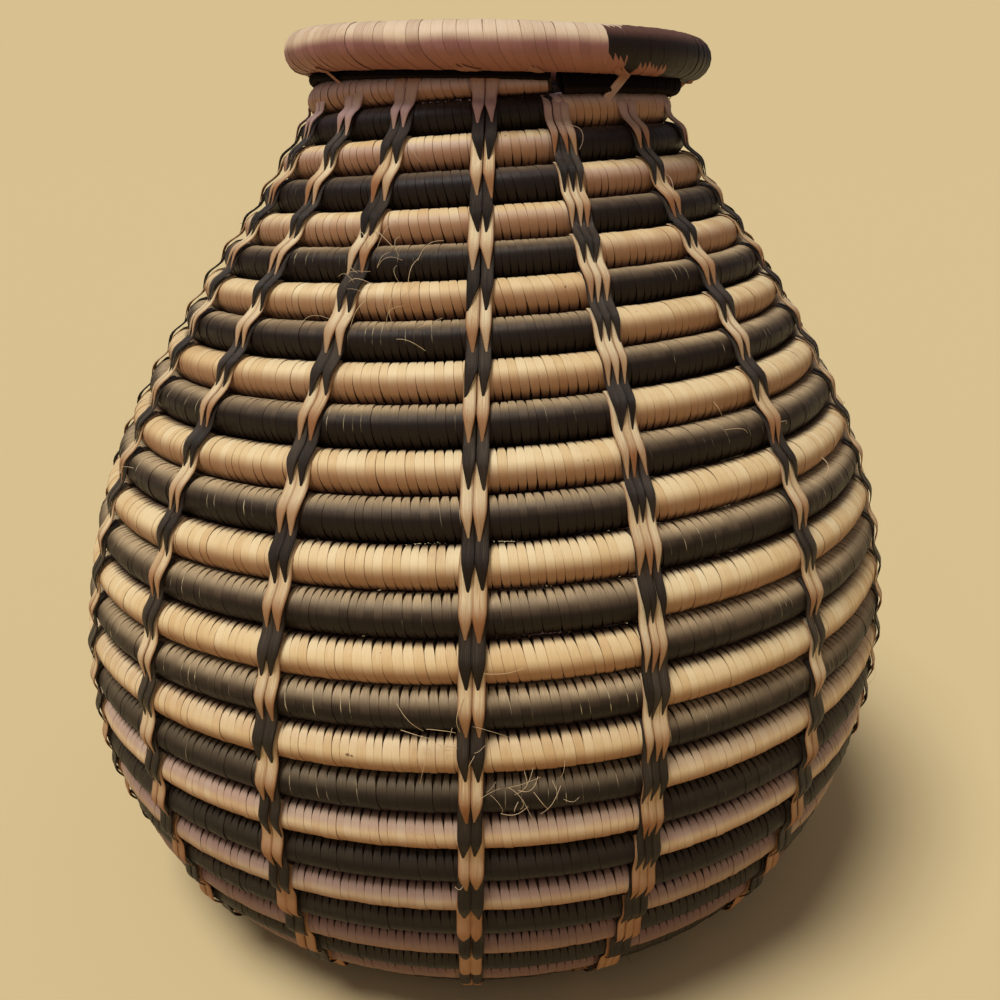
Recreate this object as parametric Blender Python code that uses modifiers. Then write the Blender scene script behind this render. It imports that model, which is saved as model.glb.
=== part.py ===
"""Coiled basket with a wide belly, a narrow neck and a rolled rim.

One coil of grass is wound from a small start at the centre of the base,
out over the flat base and up the wall. It climbs one row in each turn and
its palm wrapping changes colour where a turn ends, at the seam. Raised ribs
of long stitches bind each row to the row below. The last, thin turn is dark,
and a thick rim coil, wrapped light and dark, is lashed over it to the wall.

The basket stands on z = 0 with the centre of its base at the origin. Its
front faces -Y. Turns are counted along the coil: 0 where the wall begins,
negative on the base. Angles are counted from the front towards +X.
"""

import math

import bmesh
import bpy
import numpy as np
from mathutils import Vector

# Outline of the wall, measured on the centre line of the coil
FOOT_RADIUS = 0.0704
BELLY_RADIUS = 0.1208
BELLY_HEIGHT = 0.0834
NECK_RADIUS = 0.0479
NECK_HEIGHT = 0.2425
# Radius share and height share, from the foot up to the belly
FOOT_OUTLINE_SHARES = (
    (0.0, 0.0), (0.24, 0.013), (0.41, 0.07), (0.558, 0.155),
    (0.718, 0.27), (0.86, 0.46), (0.967, 0.70), (1.0, 1.0),
)
# Radius share and height share, from above the belly up to the neck
NECK_OUTLINE_SHARES = (
    (0.981, 0.11), (0.926, 0.235), (0.835, 0.355), (0.70, 0.475), (0.542, 0.59),
    (0.394, 0.69), (0.223, 0.79), (0.079, 0.89), (0.006, 0.95), (0.0, 1.0),
)

# Coil
WALL_TURNS = 28
BASE_TURNS = 7
START_RADIUS = 0.0104
SEAM_ANGLE = 19.0
STATIONS = 20
COIL_SIDES = 6
# Place along the wall and thickness of the coil there, both as shares
THICKNESS_SHARES = (
    (0.0, 0.918), (0.20, 0.854), (0.32, 0.892), (0.42, 0.95), (0.55, 0.976),
    (0.68, 0.982), (0.80, 0.915), (0.90, 0.95), (1.0, 0.843),
)
TAPER_TURN_SHARE = 0.24
COIL_END_SHARE = 0.42
ROW_GAP = 0.00045
LOOP_GAP = 0.00070
FLAT_DEPTH = 0.0005
# Places along the coil that fall this close below a station count as on it
STATION_SLACK = 1e-9
# Meeting points of a tube and its caps closer than this are welded
WELD_DISTANCE = 0.000003
SHARP_ANGLE = 65.0

# Block that cuts the foot flat, as multiples of the belly radius and the cut
CUTTER_WIDTHS = 3
CUTTER_DEPTHS = 20

# The hand-made lean of the basket and the tilt of its upper rows
LEAN_RISE_SHARE = 0.015
ROW_TILT = 2.34
# Height share and share of the tilt that the rows have there
TILT_SHARES = ((0.0, 0.0), (0.12, 0.0), (0.42, 0.44), (0.75, 0.91), (1.0, 0.93))

# Start of the coil, at the centre of the base
START_BEVEL = 0.0009

# Ribs of long stitches
FRONT_RIB_ANGLES = (-61.0, -42.0, -23.0, -0.5, 19.0, 43.0, 69.0)
BACK_RIBS = 9
RIB_START_TURN = 1.6
RIB_CREST_WIDTH = 0.0074
RIB_GROOVE_WIDTH = 0.0050
RIB_CREST_THICKNESS = 0.0014
RIB_GROOVE_THICKNESS = 0.0015
RIB_DIP = 0.0012
SEAT_GAP = 0.0003

# Rim: how far its centre line stands out from the neck's and above it, and its
# tilts in degrees towards +X and away from the front
RIM_OVERHANG = 0.0075
RIM_RADIUS = NECK_RADIUS + RIM_OVERHANG
RIM_TUBE_RADIUS = 0.0057
RIM_WRAP = 0.0009
RIM_SHIFT = 0.0026
RIM_RISE = 0.0081
RIM_TILT = -0.9
RIM_BACK_TILT = 2.0
RIM_STATIONS = 24
RIM_SIDES = 8
DARK_WRAP_START = 26.0
DARK_WRAP_END = 109.0

# Lashings that hold the rim coil on the last row
FRONT_TIE_ANGLES = (-51.5, -11.5, 9.3, 30.0)
TIE_WIDTH = 0.0056
TIE_THICKNESS = 0.0008
# Where they lie on the rim's section, in degrees below its outer side
TIE_RIM_ANGLES = (35.0, 65.0)

OUTLINE_STEPS = 60
COILS = "coiled_basket"
CUTTERS = "cutters"

LIGHT_PALM = ((0.60, 0.41, 0.21), 0.62)
DARK_PALM = ((0.045, 0.030, 0.022), 0.45)
GRASS = ((0.50, 0.36, 0.17), 0.85)


def clear_scene():
    """Remove every object of the scene that the script starts in."""
    for item in list(bpy.data.objects):
        bpy.data.objects.remove(item, do_unlink=True)


def new_collection(name):
    """A collection of its own under the scene."""
    collection = bpy.data.collections.new(name)
    bpy.context.scene.collection.children.link(collection)
    return collection


def new_material(name, finish):
    """A plain Principled material with a colour and a roughness."""
    colour, roughness = finish
    material = bpy.data.materials.new(name)
    material.use_nodes = True
    shader = material.node_tree.nodes["Principled BSDF"]
    shader.inputs["Base Color"].default_value = (*colour, 1.0)
    shader.inputs["Roughness"].default_value = roughness
    shader.inputs["Metallic"].default_value = 0.0
    material.diffuse_color = (*colour, 1.0)
    return material


def smooth_through(points, steps):
    """A smooth curve through the points, with steps points on each stretch."""
    padded = np.array([2 * points[0] - points[1], *points, 2 * points[-1] - points[-2]])
    curve = []
    for before, start, end, after in zip(padded, padded[1:], padded[2:], padded[3:]):
        for share in np.arange(steps) / steps:
            pull = (2 * before - 5 * start + 4 * end - after) * share**2
            swing = (3 * start - before - 3 * end + after) * share**3
            curve.append(start + 0.5 * ((end - before) * share + pull + swing))
    curve.append(points[-1])
    return np.array(curve)


def ring_reach(half, sides):
    """Corner radius of a regular section whose flats lie half away."""
    return half / math.cos(math.pi / sides)


BASE_PITCH = (FOOT_RADIUS - START_RADIUS) / BASE_TURNS
BASE_HALF = (BASE_PITCH - LOOP_GAP) / 2
FOOT_HEIGHT = ring_reach(BASE_HALF, COIL_SIDES) - FLAT_DEPTH


def wall_outline():
    """Radius and height of the wall's centre line, from the foot to the neck."""
    points = []
    for radius_share, height_share in FOOT_OUTLINE_SHARES:
        radius = FOOT_RADIUS + radius_share * (BELLY_RADIUS - FOOT_RADIUS)
        height = FOOT_HEIGHT + height_share * (BELLY_HEIGHT - FOOT_HEIGHT)
        points.append(np.array((radius, height)))
    for radius_share, height_share in NECK_OUTLINE_SHARES:
        radius = NECK_RADIUS + radius_share * (BELLY_RADIUS - NECK_RADIUS)
        height = BELLY_HEIGHT + height_share * (NECK_HEIGHT - BELLY_HEIGHT)
        points.append(np.array((radius, height)))
    return smooth_through(points, OUTLINE_STEPS)


OUTLINE = wall_outline()
STEP_LENGTHS = np.linalg.norm(np.diff(OUTLINE, axis=0), axis=1)
LENGTHS = np.concatenate(([0], np.cumsum(STEP_LENGTHS)))


def wall_turns_along():
    """The turn that the coil has reached at each point of the outline."""
    places, thicknesses = np.array(THICKNESS_SHARES).T
    thickness = np.interp(LENGTHS / LENGTHS[-1], places, thicknesses)
    rows = STEP_LENGTHS * 2 / (thickness[1:] + thickness[:-1])
    counted = np.concatenate(([0], np.cumsum(rows)))
    return counted * WALL_TURNS / counted[-1]


TURNS_ALONG = wall_turns_along()


def end_taper(turn):
    """Share of its thickness that the coil keeps at a turn."""
    into_taper = (turn - (WALL_TURNS - TAPER_TURN_SHARE)) / TAPER_TURN_SHARE
    into_taper = min(max(into_taper, 0.0), 1.0)
    return 1 - (1 - COIL_END_SHARE) * into_taper


def plain_profile(turn):
    """Radius and height of the centre line, the coil's end not yet lowered."""
    if turn < 0:
        return FOOT_RADIUS + turn * BASE_PITCH, FOOT_HEIGHT
    length = np.interp(turn, TURNS_ALONG, LENGTHS)
    radius = np.interp(length, LENGTHS, OUTLINE[:, 0])
    height = np.interp(length, LENGTHS, OUTLINE[:, 1])
    return float(radius), float(height)


def profile(turn):
    """Radius and height of the centre line. The thin end lies on the row below."""
    radius, height = plain_profile(turn)
    thinned = 1 - end_taper(turn)
    if thinned > 0:
        low_radius, low_height = plain_profile(turn - 1)
        radius += (low_radius - radius) * thinned / 2
        height += (low_height - height) * thinned / 2
    return radius, height


def tilt_rise(height):
    """Rise per length towards +X of the rows at this height."""
    places, shares = np.array(TILT_SHARES).T
    share = np.interp(height / NECK_HEIGHT, places, shares)
    return math.tan(math.radians(ROW_TILT)) * float(share)


def angle_at(turn):
    """Angle round the basket, in radians, at a turn of the coil."""
    return math.radians(SEAM_ANGLE) + 2 * math.pi * turn


def placed(angle, radius, height):
    """A point of the basket, leaned and tilted as it stands."""
    across = radius * math.sin(angle)
    lean = LEAN_RISE_SHARE * height
    rise = tilt_rise(height) * across
    return Vector((across + lean, -radius * math.cos(angle), height + rise))


def on_curve(turn):
    """The coil's centre at a turn."""
    return placed(angle_at(turn), *profile(turn))


def straight_run(turn):
    """The two stations on either side of a turn, and how far along it lies."""
    place = turn * STATIONS - 0.5
    low = math.floor(place + STATION_SLACK)
    start = on_curve((low + 0.5) / STATIONS)
    end = on_curve((low + 1.5) / STATIONS)
    return start, end, place - low


def on_coil(turn):
    """The coil's centre at a turn, on the straight run between two stations."""
    start, end, share = straight_run(turn)
    return start.lerp(end, share)


def along_coil(turn):
    """Direction of the straight run of the coil at a turn."""
    start, end, _ = straight_run(turn)
    return (end - start).normalized()


def towards_next_row(turn):
    """Direction across the rows, from the row below to the row above."""
    above = turn + 1 if turn + 1 <= WALL_TURNS else turn
    below = turn - 1 if turn - 1 >= -BASE_TURNS else turn
    across = on_coil(above) - on_coil(below)
    along = along_coil(turn)
    across -= along * across.dot(along)
    return across.normalized()


def half_thickness(turn):
    """Half the coil's thickness at a turn, which its neighbours leave it."""
    gap = LOOP_GAP if turn < 0 else ROW_GAP
    spacings = []
    if turn - 1 >= -BASE_TURNS:
        spacings.append((on_coil(turn) - on_coil(turn - 1)).length)
    if turn + 1 <= WALL_TURNS:
        spacings.append((on_coil(turn + 1) - on_coil(turn)).length)
    if turn > WALL_TURNS - 1:
        full = math.dist(plain_profile(turn), plain_profile(turn - 1))
        return (full - gap) / 2 * end_taper(turn)
    if turn > WALL_TURNS - 2:
        return min((spacings[0] - gap) / 2, spacings[-1] - gap - half_thickness(turn + 1))
    return (min(spacings) - gap) / 2


def corner_radius(turn):
    """Corner radius of the six-sided section, whose flats clear both neighbours."""
    across = towards_next_row(turn)
    turned = 0.0
    for other in (turn - 1, turn + 1):
        if -BASE_TURNS <= other <= WALL_TURNS:
            way = (on_coil(other) - on_coil(turn)) * (other - turn)
            way -= along_coil(turn) * way.dot(along_coil(turn))
            turned = max(turned, across.angle(way))
    return half_thickness(turn) / math.cos(math.pi / COIL_SIDES - turned)


def row_turns(first, last):
    """Turns of the points of one stretch of coil, its two ends trimmed."""
    trims = []
    for end in (first, last):
        radius, _ = profile(end)
        trims.append(SEAT_GAP / 2 / (2 * math.pi * radius))
    low = math.floor(first * STATIONS)
    high = math.ceil(last * STATIONS)
    stations = [(index + 0.5) / STATIONS for index in range(low, high)]
    return [first + trims[0], *stations, last - trims[1]]


def section_turn(turn):
    """Turn of the section, so that its flats face the neighbouring rows."""
    across = towards_next_row(turn)
    along = along_coil(turn)
    outward = along.cross(Vector((0, 0, 1))).normalized()
    upward = outward.cross(along)
    return math.atan2(across.dot(outward), across.dot(upward))


def tube_object(name, points, radii, sides, closed):
    """A tube with flat sides along points, as a curve object with filled caps."""
    curve = bpy.data.curves.new(name, "CURVE")
    curve.dimensions = "3D"
    curve.twist_mode = "Z_UP"
    curve.bevel_mode = "ROUND"
    curve.bevel_resolution = (sides - 4) // 2
    curve.bevel_depth = max(radii)
    curve.use_fill_caps = not closed
    spline = curve.splines.new("POLY")
    spline.points.add(len(points) - 1)
    spline.use_cyclic_u = closed
    for place, point, radius in zip(spline.points, points, radii):
        place.co = (*point, 1)
        place.radius = radius / curve.bevel_depth
    return bpy.data.objects.new(name, curve)


def coil_stretch(name, first, last, material, collection):
    """The stretch of coil between two turns."""
    turns = row_turns(first, last)
    points = [on_coil(turn) for turn in turns]
    radii = [corner_radius(turn) for turn in turns]
    item = tube_object(name, points, radii, COIL_SIDES, closed=False)
    for place, turn in zip(item.data.splines[0].points, turns):
        place.tilt = section_turn(turn)
    item.data.materials.append(material)
    collection.objects.link(item)
    return item


def to_mesh(item):
    """The same object as a mesh, with its caps welded on."""
    graph = bpy.context.evaluated_depsgraph_get()
    mesh = bpy.data.meshes.new_from_object(item.evaluated_get(graph))
    shape = bmesh.new()
    shape.from_mesh(mesh)
    bmesh.ops.remove_doubles(shape, verts=shape.verts, dist=WELD_DISTANCE)
    shape.to_mesh(mesh)
    shape.free()
    name = item.name
    solid = bpy.data.objects.new(name, mesh)
    solid.matrix_world = item.matrix_world
    for collection in item.users_collection:
        collection.objects.link(solid)
    bpy.data.objects.remove(item, do_unlink=True)
    solid.name = name
    return solid


def shade_round(item):
    """Smooth shading, with edges left sharp where faces meet steeply."""
    item.data.shade_smooth()
    item.data.set_sharp_from_angle(angle=math.radians(SHARP_ANGLE))


def floor_cutter(collection):
    """A block below z = 0 that gives the foot its flat."""
    bpy.ops.mesh.primitive_cube_add(size=1)
    cutter = bpy.context.object
    cutter.name = "floor_cutter"
    width = BELLY_RADIUS * CUTTER_WIDTHS
    depth = FLAT_DEPTH * CUTTER_DEPTHS
    for corner in cutter.data.vertices:
        x, y, z = corner.co
        corner.co = Vector((x * width, y * width, (z - 0.5) * depth))
    cutter.hide_render = True
    cutter.display_type = "WIRE"
    for owner in list(cutter.users_collection):
        owner.objects.unlink(cutter)
    collection.objects.link(cutter)
    return cutter


def cut_flat(item, cutter):
    """Cut what lies below the floor off an object."""
    solid = to_mesh(item)
    cut = solid.modifiers.new("foot_flat", "BOOLEAN")
    cut.operation = "DIFFERENCE"
    cut.solver = "EXACT"
    cut.object = cutter
    return solid


def make_start(material, collection):
    """The small tight start of the coil, at the centre of the base."""
    radius = START_RADIUS - BASE_HALF - LOOP_GAP
    height = FOOT_HEIGHT * 2
    centre = (0, 0, height / 2)
    bpy.ops.mesh.primitive_cylinder_add(
        vertices=STATIONS, radius=radius, depth=height, location=centre
    )
    start = bpy.context.object
    start.name = "coil_start"
    start.data.materials.append(material)
    bevel = start.modifiers.new("rounded_edge", "BEVEL")
    bevel.width = START_BEVEL
    bevel.segments = 2
    for owner in list(start.users_collection):
        owner.objects.unlink(start)
    collection.objects.link(start)
    shade_round(start)


def make_coil(light, dark, collection, cutter):
    """The base in one unbroken spiral, then the wall, one node to each turn."""
    base = coil_stretch("base_coil", -BASE_TURNS, 0, light, collection)
    shade_round(cut_flat(base, cutter))
    for row in range(WALL_TURNS):
        is_light = (WALL_TURNS - row) % 2 == 1
        colour = "light" if is_light else "dark"
        name = f"wall_row_{row + 1:02d}_{colour}"
        item = coil_stretch(name, row, row + 1, light if is_light else dark, collection)
        solid = cut_flat(item, cutter) if row == 0 else to_mesh(item)
        shade_round(solid)


def rib_angles():
    """Angles of all ribs: the front ones as seen, the rest spread evenly."""
    first = FRONT_RIB_ANGLES[-1]
    span = FRONT_RIB_ANGLES[0] + 360 - first
    step = span / (BACK_RIBS + 1)
    back = [first + step * (index + 1) for index in range(BACK_RIBS)]
    return [*FRONT_RIB_ANGLES, *back]


def rib_section(turn, width, thickness, dip):
    """Left foot, right foot and ridge of a rib where it crosses a turn."""
    along = along_coil(turn)
    outward = along.cross(towards_next_row(turn))
    aside = width / 2 / (2 * math.pi * profile(turn)[0])
    crossed = (turn - aside, turn, min(turn + aside, WALL_TURNS))
    reach = max(corner_radius(place) for place in crossed)
    seat = on_coil(turn) + outward * (reach + SEAT_GAP - dip)
    left = seat - along * (width / 2)
    right = seat + along * (width / 2)
    return [left, right, seat + outward * thickness]


def rib_groove_section(turn):
    """Section of a rib in the groove between a turn and the row above it."""
    low = rib_section(turn, RIB_GROOVE_WIDTH, RIB_GROOVE_THICKNESS, RIB_DIP)
    high = rib_section(turn + 1, RIB_GROOVE_WIDTH, RIB_GROOVE_THICKNESS, RIB_DIP)
    return [(below + above) / 2 for below, above in zip(low, high)]


def loft(name, sections, material, collection):
    """A closed solid through sections that have the same number of corners."""
    shape = bmesh.new()
    rings = [[shape.verts.new(point) for point in section] for section in sections]
    count = len(sections[0])
    for low, high in zip(rings, rings[1:]):
        for index in range(count):
            following = (index + 1) % count
            shape.faces.new((low[index], low[following], high[following], high[index]))
    shape.faces.new(rings[0])
    shape.faces.new(rings[-1])
    bmesh.ops.recalc_face_normals(shape, faces=shape.faces)
    mesh = bpy.data.meshes.new(name)
    shape.to_mesh(mesh)
    shape.free()
    item = bpy.data.objects.new(name, mesh)
    item.data.materials.append(material)
    collection.objects.link(item)
    return item


def rib_crests(angle):
    """Turns at which a rib at this angle crosses the middle of a row."""
    share = ((angle - SEAM_ANGLE) / 360) % 1
    return [row + share for row in range(WALL_TURNS) if row + share >= RIB_START_TURN]


def make_ribs(material, collection):
    """Ribs of long stitches that bind each row to the row below."""
    for number, angle in enumerate(rib_angles(), start=1):
        crests = rib_crests(angle)
        sections = []
        for turn in crests:
            sections.append(rib_section(turn, RIB_CREST_WIDTH, RIB_CREST_THICKNESS, 0))
            if turn != crests[-1]:
                sections.append(rib_groove_section(turn))
        loft(f"rib_{number:02d}", sections, material, collection)


def rim_centre():
    """Centre of the rim ring, a little to the right of the neck's centre."""
    return Vector((LEAN_RISE_SHARE * NECK_HEIGHT + RIM_SHIFT, 0, NECK_HEIGHT + RIM_RISE))


def rim_station(index):
    """Centre of the rim coil at a station, from the ring's centre."""
    turned = (index + 0.5) * 2 * math.pi / RIM_STATIONS
    across = RIM_RADIUS * math.sin(turned)
    back = -RIM_RADIUS * math.cos(turned)
    rise = across * math.tan(math.radians(RIM_TILT)) + back * math.tan(math.radians(RIM_BACK_TILT))
    return Vector((across, back, rise))


def on_rim(angle):
    """Centre of the rim coil at an angle, and the direction of its straight run."""
    place = angle * RIM_STATIONS / (2 * math.pi) - 0.5
    low = math.floor(place)
    start = rim_station(low)
    end = rim_station(low + 1)
    return rim_centre() + start.lerp(end, place - low), (end - start).normalized()


def rim_run(first, last):
    """Points of the rim coil between two angles in degrees, ends trimmed."""
    step = 360 / RIM_STATIONS
    trim = math.degrees(SEAT_GAP / 2 / RIM_RADIUS)
    low = math.ceil(first / step - 0.5)
    high = math.floor(last / step - 0.5)
    inner = [(index + 0.5) * step for index in range(low, high + 1)]
    return [on_rim(math.radians(angle))[0] for angle in (first + trim, *inner, last - trim)]


def make_rim_seat(material, collection):
    """The thin last turn of the coil, which fills the space between wall and rim."""
    turns = row_turns(WALL_TURNS - 1, WALL_TURNS)
    points, radii = [], []
    for turn in turns:
        below = on_coil(turn)
        around = below - rim_centre()
        above, _ = on_rim(math.atan2(around.x, -around.y) % (2 * math.pi))
        room = (above - below).length - corner_radius(turn) - RIM_TUBE_RADIUS
        radii.append(room / 2 - SEAT_GAP)
        reach = corner_radius(turn) + SEAT_GAP + radii[-1]
        points.append(below + (above - below).normalized() * reach)
    seat = tube_object("rim_seat_dark", points, radii, COIL_SIDES, closed=False)
    seat.data.materials.append(material)
    collection.objects.link(seat)
    shade_round(to_mesh(seat))
    print(f"radius of the coil under the rim {min(radii) * 1000:.2f} to {max(radii) * 1000:.2f} mm")


def make_rim_core(material, collection):
    """The thick grass bundle of the rim."""
    radius = RIM_TUBE_RADIUS - ring_reach(RIM_WRAP + SEAT_GAP, RIM_SIDES)
    points = [rim_centre() + rim_station(index) for index in range(RIM_STATIONS)]
    radii = [radius] * RIM_STATIONS
    core = tube_object("rim_core", points, radii, RIM_SIDES, closed=True)
    core.data.materials.append(material)
    collection.objects.link(core)
    shade_round(to_mesh(core))


def make_rim_wrap(name, first, last, material, collection):
    """A sleeve of palm strip wound round the rim core between two angles."""
    points = rim_run(first, last)
    radii = [RIM_TUBE_RADIUS] * len(points)
    wrap = tube_object(name, points, radii, RIM_SIDES, closed=False)
    wrap.data.use_fill_caps = False
    wrap.data.materials.append(material)
    collection.objects.link(wrap)
    wrap = to_mesh(wrap)
    shell = wrap.modifiers.new("strip_thickness", "SOLIDIFY")
    shell.thickness = RIM_WRAP
    shell.offset = -1
    shell.use_even_offset = True
    shade_round(wrap)


def tie_angles():
    """Angles of all lashings: the front ones as seen, the rest between ribs."""
    ribs = rib_angles()[len(FRONT_RIB_ANGLES) - 1:]
    back = [(low + high) / 2 for low, high in zip(ribs[::2], ribs[1::2])]
    return [*FRONT_TIE_ANGLES, *back]


def tie_section(seat, outward, along):
    """Four corners of a lashing where it lies on a surface."""
    side = along * (TIE_WIDTH / 2)
    top = outward * TIE_THICKNESS
    return [seat - side, seat + side, seat + side + top, seat - side + top]


def make_ties(material, collection):
    """Lashings that run from under the rim, past the thin turn, onto the last row."""
    for number, angle in enumerate(tie_angles(), start=1):
        turn = WALL_TURNS - 1 + ((angle - SEAM_ANGLE) / 360) % 1
        centre, along = on_rim(math.radians(angle % 360))
        away = along.cross(Vector((0, 0, 1)))
        sections = []
        for below in np.radians(TIE_RIM_ANGLES):
            outward = away * math.cos(below) - Vector((0, 0, math.sin(below)))
            seat = centre + outward * (RIM_TUBE_RADIUS + SEAT_GAP)
            sections.append(tie_section(seat, outward, along))
        along = along_coil(turn)
        outward = along.cross(towards_next_row(turn))
        reach = corner_radius(turn) + SEAT_GAP
        sections.append(tie_section(on_coil(turn) + outward * reach, outward, along))
        loft(f"rim_tie_{number:02d}", sections, material, collection)


def least_gap(first, last):
    """Least gap between a turn and the next, measured on points."""
    gaps = []
    for index in range(first * STATIONS * 2, (last - 1) * STATIONS * 2):
        turn = index / (STATIONS * 2)
        apart = (on_coil(turn + 1) - on_coil(turn)).length
        gaps.append(apart - half_thickness(turn) - half_thickness(turn + 1))
    return min(gaps)


def build():
    """Make every piece of the basket."""
    clear_scene()
    collection = new_collection(COILS)
    cutters = new_collection(CUTTERS)
    light = new_material("natural_palm", LIGHT_PALM)
    dark = new_material("dyed_palm", DARK_PALM)
    grass = new_material("grass_bundle", GRASS)
    cutter = floor_cutter(cutters)
    make_start(light, collection)
    make_coil(light, dark, collection, cutter)
    make_ribs(light, collection)
    make_rim_seat(dark, collection)
    make_rim_core(grass, collection)
    make_rim_wrap("rim_wrap_dark", DARK_WRAP_START, DARK_WRAP_END, dark, collection)
    make_rim_wrap("rim_wrap_light", DARK_WRAP_END, DARK_WRAP_START + 360, light, collection)
    make_ties(light, collection)
    print(f"least gap between the base's loops {least_gap(-BASE_TURNS, 0) * 1000:.2f} mm")
    print(f"least gap between the wall's rows {least_gap(0, WALL_TURNS) * 1000:.2f} mm")


build()
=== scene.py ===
import math

import bmesh
import bpy
import numpy as np
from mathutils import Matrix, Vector


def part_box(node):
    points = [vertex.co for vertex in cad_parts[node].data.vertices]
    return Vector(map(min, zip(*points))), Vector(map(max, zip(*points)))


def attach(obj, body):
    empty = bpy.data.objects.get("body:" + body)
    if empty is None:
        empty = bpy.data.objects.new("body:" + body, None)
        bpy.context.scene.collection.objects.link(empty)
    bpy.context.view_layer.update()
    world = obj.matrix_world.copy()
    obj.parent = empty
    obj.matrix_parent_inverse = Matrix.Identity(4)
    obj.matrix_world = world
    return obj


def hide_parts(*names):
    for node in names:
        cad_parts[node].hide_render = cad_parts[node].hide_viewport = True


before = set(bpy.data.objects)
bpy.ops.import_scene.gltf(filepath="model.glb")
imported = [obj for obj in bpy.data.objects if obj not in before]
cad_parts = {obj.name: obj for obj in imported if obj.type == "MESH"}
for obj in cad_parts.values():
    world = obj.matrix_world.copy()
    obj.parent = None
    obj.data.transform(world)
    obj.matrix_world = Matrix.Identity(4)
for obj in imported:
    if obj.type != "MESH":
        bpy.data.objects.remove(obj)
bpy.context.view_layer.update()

# The grass bundle of the coil: dry stems, as thick as a finger at the belly. It
# is wound from the middle of the flat base outwards and then up the wall, one
# row in each turn. Palm strip hides it, but for dark lines between its turns.
FOOT_RADIUS = 0.0704
BELLY_RADIUS = 0.1208
BELLY_HEIGHT = 0.0834
NECK_RADIUS = 0.0479
NECK_HEIGHT = 0.2425
FOOT_HEIGHT = 0.00404
# The wall's outline below and above the belly: share of the belly's swell, then
# share of the height
FOOT_OUTLINE_SHARES = (
    (0.0, 0.0), (0.24, 0.013), (0.41, 0.07), (0.558, 0.155),
    (0.718, 0.27), (0.86, 0.46), (0.967, 0.70), (1.0, 1.0),
)
NECK_OUTLINE_SHARES = (
    (0.981, 0.11), (0.926, 0.235), (0.835, 0.355), (0.70, 0.475), (0.542, 0.59),
    (0.394, 0.69), (0.223, 0.79), (0.079, 0.89), (0.006, 0.95), (0.0, 1.0),
)
# How thick the coil is at shares of the outline's length, as against elsewhere
THICKNESS_SHARES = (
    (0.0, 0.918), (0.20, 0.854), (0.32, 0.892), (0.42, 0.95), (0.55, 0.976),
    (0.68, 0.982), (0.80, 0.915), (0.90, 0.95), (1.0, 0.843),
)
OUTLINE_STEPS = 60
# Turns are counted from the foot of the wall, and angles from the front to +X
WALL_TURNS = 28
BASE_TURNS = 7
START_RADIUS = 0.0104
BASE_PITCH = (FOOT_RADIUS - START_RADIUS) / BASE_TURNS
SEAM_ANGLE = 19.0
TAPER_TURN_SHARE = 0.24
COIL_END_SHARE = 0.42
# The basket leans towards +X, and its rows rise that way by some degrees, of
# which each share of the height has its own share
LEAN_RISE_SHARE = 0.015
ROW_TILT = 2.34
TILT_SHARES = ((0.0, 0.0), (0.12, 0.0), (0.42, 0.44), (0.75, 0.91), (1.0, 0.93))
# The step in turns that gives the coil's direction
NEXT_TURN_STEP = 0.004


def smooth_through(points, steps):
    """A smooth curve through the points, with steps points on each stretch."""
    padded = np.array([2 * points[0] - points[1], *points, 2 * points[-1] - points[-2]])
    curve = []
    for before, start, end, after in zip(padded, padded[1:], padded[2:], padded[3:]):
        for share in np.arange(steps) / steps:
            pull = (2 * before - 5 * start + 4 * end - after) * share**2
            swing = (3 * start - before - 3 * end + after) * share**3
            curve.append(start + 0.5 * ((end - before) * share + pull + swing))
    curve.append(points[-1])
    return np.array(curve)


def wall_outline():
    """Radius and height of the wall's centre line, from the foot to the neck."""
    points = []
    for radius_share, height_share in FOOT_OUTLINE_SHARES:
        radius = FOOT_RADIUS + radius_share * (BELLY_RADIUS - FOOT_RADIUS)
        height = FOOT_HEIGHT + height_share * (BELLY_HEIGHT - FOOT_HEIGHT)
        points.append(np.array((radius, height)))
    for radius_share, height_share in NECK_OUTLINE_SHARES:
        radius = NECK_RADIUS + radius_share * (BELLY_RADIUS - NECK_RADIUS)
        height = BELLY_HEIGHT + height_share * (NECK_HEIGHT - BELLY_HEIGHT)
        points.append(np.array((radius, height)))
    return smooth_through(points, OUTLINE_STEPS)


OUTLINE = wall_outline()
STEP_LENGTHS = np.linalg.norm(np.diff(OUTLINE, axis=0), axis=1)
LENGTHS = np.concatenate(([0], np.cumsum(STEP_LENGTHS)))
THICKNESS = np.interp(LENGTHS / LENGTHS[-1], *np.array(THICKNESS_SHARES).T)
TURNS_ALONG = np.concatenate(([0], np.cumsum(STEP_LENGTHS * 2 / (THICKNESS[1:] + THICKNESS[:-1]))))
TURNS_ALONG *= WALL_TURNS / TURNS_ALONG[-1]


def end_taper(turn):
    """Share of its thickness that the coil keeps at a turn."""
    into_taper = (turn - (WALL_TURNS - TAPER_TURN_SHARE)) / TAPER_TURN_SHARE
    return 1 - (1 - COIL_END_SHARE) * min(max(into_taper, 0.0), 1.0)


def plain_profile(turn):
    """Radius and height of the centre line, the coil's end not yet lowered."""
    if turn < 0:
        return FOOT_RADIUS + turn * BASE_PITCH, FOOT_HEIGHT
    length = np.interp(turn, TURNS_ALONG, LENGTHS)
    return np.interp(length, LENGTHS, OUTLINE[:, 0]), np.interp(length, LENGTHS, OUTLINE[:, 1])


def profile(turn):
    """Radius and height of the centre line. The thin end lies on the row below."""
    radius, height = plain_profile(turn)
    thinned = (1 - end_taper(turn)) / 2
    low_radius, low_height = plain_profile(turn - 1)
    return radius + (low_radius - radius) * thinned, height + (low_height - height) * thinned


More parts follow.
